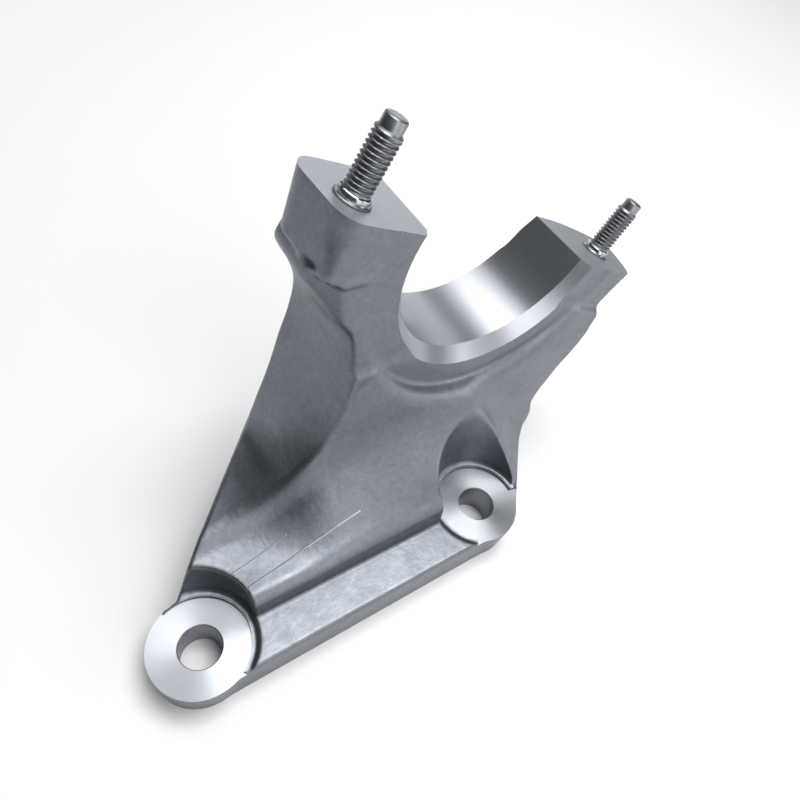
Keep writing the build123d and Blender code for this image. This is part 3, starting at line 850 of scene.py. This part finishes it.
def machined(name, base, rough, marks, metallic=0.92, aniso=0.0, tangent=None, strength=0.2, mscale=1.0, depth=0.6):
    t = Tree(name)
    b = t.b
    broad = t.noise(60, 3, 0.55)
    col = t.ramp(broad, [(0.3, tuple(c * 0.93 for c in base)), (0.7, base)])
    m = marks(t)
    line = t.ramp(m, [(0.25, (0.90, 0.90, 0.91)), (0.6, (1.0, 1.0, 1.0)), (0.85, (1.05, 1.05, 1.05))])
    col = t.mix(depth, col, line, "MULTIPLY")
    t.link(col, b.inputs["Base Color"])
    b.inputs["Metallic"].default_value = metallic
    t.link(t.remap(m, 0.2, 0.8, rough - 0.06 * depth, rough + 0.08 * depth), b.inputs["Roughness"])
    b.inputs["Anisotropic"].default_value = aniso
    if tangent is not None:
        t.link(tangent(t), b.inputs["Tangent"])
    t.link(t.bump(m, strength, 0.00006 * mscale), b.inputs["Normal"])
    return t.mat


def ring_noise(t, centre, scale, plane="XY"):
    """noise that varies with the distance from an axis only, with a slow change around it"""
    p = t.vmath("SUBTRACT", t.coord.outputs["Object"], centre)
    mask = (1, 1, 0) if plane == "XY" else (1, 0, 1)
    r = t.vmath("LENGTH", t.vmath("MULTIPLY", p, mask))
    comb = t.node("ShaderNodeCombineXYZ")
    t.link(r, comb.inputs[0])
    slow = t.vmath("MULTIPLY", p, (0.006, 0.006, 0.006))
    return t.noise(scale, 3, 0.6, vec=t.vmath("ADD", comb.outputs[0], slow))


def spot_marks(t):
    # the nearer boss decides the centre
    sep = t.node("ShaderNodeSeparateXYZ")
    t.link(t.coord.outputs["Object"], sep.inputs[0])
    side = t.math("SIGN", sep.outputs[0])
    cx = t.math("MULTIPLY", side, HX * MM)
    comb = t.node("ShaderNodeCombineXYZ")
    t.link(cx, comb.inputs[0])
    p = t.vmath("SUBTRACT", t.coord.outputs["Object"], comb.outputs[0])
    r = t.vmath("LENGTH", t.vmath("MULTIPLY", p, (1, 1, 0)))
    c2 = t.node("ShaderNodeCombineXYZ")
    t.link(r, c2.inputs[0])
    slow = t.vmath("MULTIPLY", p, (0.01, 0.01, 0.0))
    return t.noise(5200, 3, 0.62, vec=t.vmath("ADD", c2.outputs[0], slow))


def spot_tangent(t):
    sep = t.node("ShaderNodeSeparateXYZ")
    t.link(t.coord.outputs["Object"], sep.inputs[0])
    side = t.math("SIGN", sep.outputs[0])
    cx = t.math("MULTIPLY", side, HX * MM)
    comb = t.node("ShaderNodeCombineXYZ")
    t.link(cx, comb.inputs[0])
    p = t.vmath("SUBTRACT", t.coord.outputs["Object"], comb.outputs[0])
    return t.vmath("NORMALIZE", t.vmath("MULTIPLY", p, (1, 1, 0)))


def bore_marks(t):
    v = t.vmath("MULTIPLY", t.coord.outputs["Object"], (0.012, 1.0, 0.012))
    return t.noise(4200, 3, 0.6, vec=v)


def bore_tangent(t):
    n = t.node("ShaderNodeCombineXYZ")
    n.inputs[1].default_value = 1.0
    return n.outputs[0]


def clamp_marks(t):
    # straight milling lines across the two faces
    v = t.vmath("MULTIPLY", t.coord.outputs["Object"], (0.03, 1.0, 0.03))
    return t.noise(2600, 3, 0.6, vec=v)


mats = [
    skin_material(),
    machined("milled_clamp_face", (0.42, 0.44, 0.475), 0.50, clamp_marks, strength=0.2),
    machined("spotface", (0.27, 0.28, 0.30), 0.30, spot_marks, aniso=0.8, tangent=spot_tangent, strength=0.12),
    machined("bored_saddle", (0.44, 0.46, 0.50), 0.34, bore_marks, aniso=0.6, tangent=bore_tangent, strength=0.02, depth=0.2),
    machined("drilled_wall", (0.26, 0.27, 0.29), 0.38, lambda t: t.noise(900, 2, 0.5), strength=0.08),
    machined("milled_foot", (0.58, 0.585, 0.60), 0.36,
             lambda t: t.noise(2200, 3, 0.6, vec=t.vmath("MULTIPLY", t.coord.outputs["Object"], (0.03, 1.0, 0.03)))),
]
me.materials.clear()
for mt in mats:
    me.materials.append(mt)
me.polygons.foreach_set("material_index", klass.astype(np.int32))

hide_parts("bracket_casting")
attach(blank, "root")


# ------------------------------------------------------------------ studs
def stud_material():
    t = Tree("stud_steel")
    b = t.b
    col = t.ramp(t.noise(500, 3, 0.6), [(0.3, (0.20, 0.207, 0.222)), (0.7, (0.28, 0.287, 0.302))])
    t.link(col, b.inputs["Base Color"])
    b.inputs["Metallic"].default_value = 0.95
    t.link(t.remap(t.noise(900, 2, 0.5), 0.3, 0.7, 0.34, 0.46), b.inputs["Roughness"])
    t.link(t.bump(t.noise(1800, 2, 0.5), 0.1, 0.00008), b.inputs["Normal"])
    return t.mat


def collar_material():
    t = Tree("stud_collar")
    b = t.b
    col = t.ramp(t.noise(400, 2, 0.5), [(0.3, (0.40, 0.405, 0.42)), (0.7, (0.52, 0.525, 0.54))])
    t.link(col, b.inputs["Base Color"])
    b.inputs["Metallic"].default_value = 0.97
    t.link(t.remap(t.noise(700, 2, 0.5), 0.3, 0.7, 0.14, 0.24), b.inputs["Roughness"])
    return t.mat


m_stud, m_collar = stud_material(), collar_material()
PITCH, R_MAJ, R_MIN = 1.0, 2.95, 2.42


def thread_r(z, theta):
    """radius of an ISO-like thread at height z and angle theta; the run-out at both ends is added in make_stud"""
    ph = (z / PITCH - theta / (2 * math.pi)) % 1.0
    tri = abs(ph - 0.5) * 2                       # 1 at the crest's centre, 0 at the root
    f = min(1.0, max(0.0, (tri - 0.16) / 0.70))
    r = R_MIN + (R_MAJ - R_MIN) * f
    return r


def make_stud(name, x):
    seg = 48
    rows = []                                     # (z, kind, radius)
    base = [(0.6, -10.9), (3.0, -10.9), (3.4, -10.5), (3.4, -0.05), (3.55, 0.02), (3.95, 0.08), (4.0, 0.2),
            (4.0, 0.34), (3.9, 0.44), (3.5, 0.5), (3.42, 0.6), (3.42, 1.55), (3.32, 1.72), (2.95, 1.9)]
    th0, th1 = 2.05, 13.35
    n = int((th1 - th0) / PITCH * (14))
    top = [(2.86, 13.62), (2.42, 14.05), (2.35, 14.2), (2.35, 16.22), (2.2, 16.42), (1.92, 16.58), (0.6, 16.58)]
    prof = []
    for r, z in base:
        prof.append((z, None, r))
    for i in range(n + 1):
        prof.append((th0 + (th1 - th0) * i / n, "t", 0))
    for r, z in top:
        prof.append((z, None, r))
    o = Vector(G(x, STUD_Y, 0))
    ax = Vector(UP)
    u = Vector((C_T, 0, -S_T))
    v = ax.cross(u)
    verts, faces, mi = [], [], []
    for z, kind, r in prof:
        for k in range(seg):
            t = 2 * math.pi * k / seg
            if kind:
                rt = thread_r(z, t)
                run = min(1.0, (z - th0) / 0.5, (th1 - z) / 0.35)
                rr_ = rt * run + (2.9 if z < 8 else 2.88) * (1 - run) if run < 1 else rt
            else:
                rr_ = r
            p = o + ax * z + (u * math.cos(t) + v * math.sin(t)) * rr_
            verts.append(tuple(p * MM))
    for i in range(len(prof) - 1):
        zc = 0.5 * (prof[i][0] + prof[i + 1][0])
        for k in range(seg):
            a, b2 = i * seg + k, i * seg + (k + 1) % seg
            faces.append((a, b2, b2 + seg, a + seg))
            mi.append(1 if 0.5 < zc < 1.95 else 0)
    faces.append(tuple(range(seg))[::-1])
    faces.append(tuple((len(prof) - 1) * seg + k for k in range(seg)))
    mi += [0, 0]
    sm = bpy.data.meshes.new(name)
    sm.from_pydata(verts, [], faces)
    sm.update()
    sm.materials.append(m_stud)
    sm.materials.append(m_collar)
    sm.polygons.foreach_set("material_index", np.array(mi, np.int32))
    sm.polygons.foreach_set("use_smooth", np.ones(len(faces), bool))
    sm.set_sharp_from_angle(angle=math.radians(38))
    ob = add_object(name, sm)
    return ob


for name, node, x in (("stud_left", "clamp_stud_left", -STUD_X), ("stud_right", "clamp_stud_right", STUD_X)):
    s = make_stud(name, x)
    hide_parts(node)
    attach(s, "root")

# ------------------------------------------------------------------ floor, lights, camera
fl = bpy.data.meshes.new("floor")
fl.from_pydata([(-3, -3, 0), (3, -3, 0), (3, 3, 0), (-3, 3, 0)], [], [(0, 1, 2, 3)])
floor = add_object("floor", fl)
ft = Tree("floor_paper")
ft.b.inputs["Base Color"].default_value = (0.84, 0.84, 0.845, 1)
ft.b.inputs["Roughness"].default_value = 0.75
fl.materials.append(ft.mat)

world = bpy.data.worlds.new("studio")
bpy.context.scene.world = world
world.use_nodes = True
bg = world.node_tree.nodes["Background"]
bg.inputs["Color"].default_value = (0.90, 0.94, 1.0, 1)
bg.inputs["Strength"].default_value = 0.06


def area(name, loc, target, size, power, color=(1, 1, 1)):
    l = bpy.data.lights.new(name, "AREA")
    l.shape = "RECTANGLE"
    l.size, l.size_y = size
    l.energy = power
    l.color = color
    o = bpy.data.objects.new(name, l)
    bpy.context.scene.collection.objects.link(o)
    o.location = loc
    o.rotation_euler = (Vector(target) - Vector(loc)).to_track_quat("-Z", "Y").to_euler()
    return o


C = (0.03, 0.02, 0.045)
for name, el, az, power in (("key", 76, 0, 6.8), ("high_back", 68, 80, 1.7), ("low_right", 12, 315, 2.1),
                            ("front", 38, 270, 1.6), ("low_front", 12, 270, 1.5), ("low_back", 12, 90, 0.8),
                            ("low_corner", 12, 45, 1.1), ("high_front", 64, 270, 1.3)):
    e, a = math.radians(el), math.radians(az)
    at = tuple(c + 0.9 * d for c, d in zip(C, (math.cos(e) * math.cos(a), math.cos(e) * math.sin(a), math.sin(e))))
    area(name, at, C, (0.50, 0.50), power)

cam_data = bpy.data.cameras.new("camera")
cam_data.sensor_width = 36.0
cam_data.lens = 659.504 / 800 * 36.0
cam_data.clip_start = 0.01
cam = bpy.data.objects.new("camera", cam_data)
bpy.context.scene.collection.objects.link(cam)
CAMPOS = (-55.5816, -50.3473, 176.8504)
RG = ((0.82565783, -0.53115383, 0.19017035),
      (-0.33045680, -0.72851906, -0.60004856),
      (0.45726082, 0.43259171, -0.77703086))
rx, ryy, rz = Vector(RG[0]), -Vector(RG[1]), -Vector(RG[2])
mw = Matrix(((rx.x, ryy.x, rz.x, CAMPOS[0] * MM), (rx.y, ryy.y, rz.y, CAMPOS[1] * MM),
             (rx.z, ryy.z, rz.z, CAMPOS[2] * MM), (0, 0, 0, 1)))
cam.matrix_world = mw
bpy.context.scene.camera = cam
bpy.context.scene.view_settings.view_transform = "Standard"
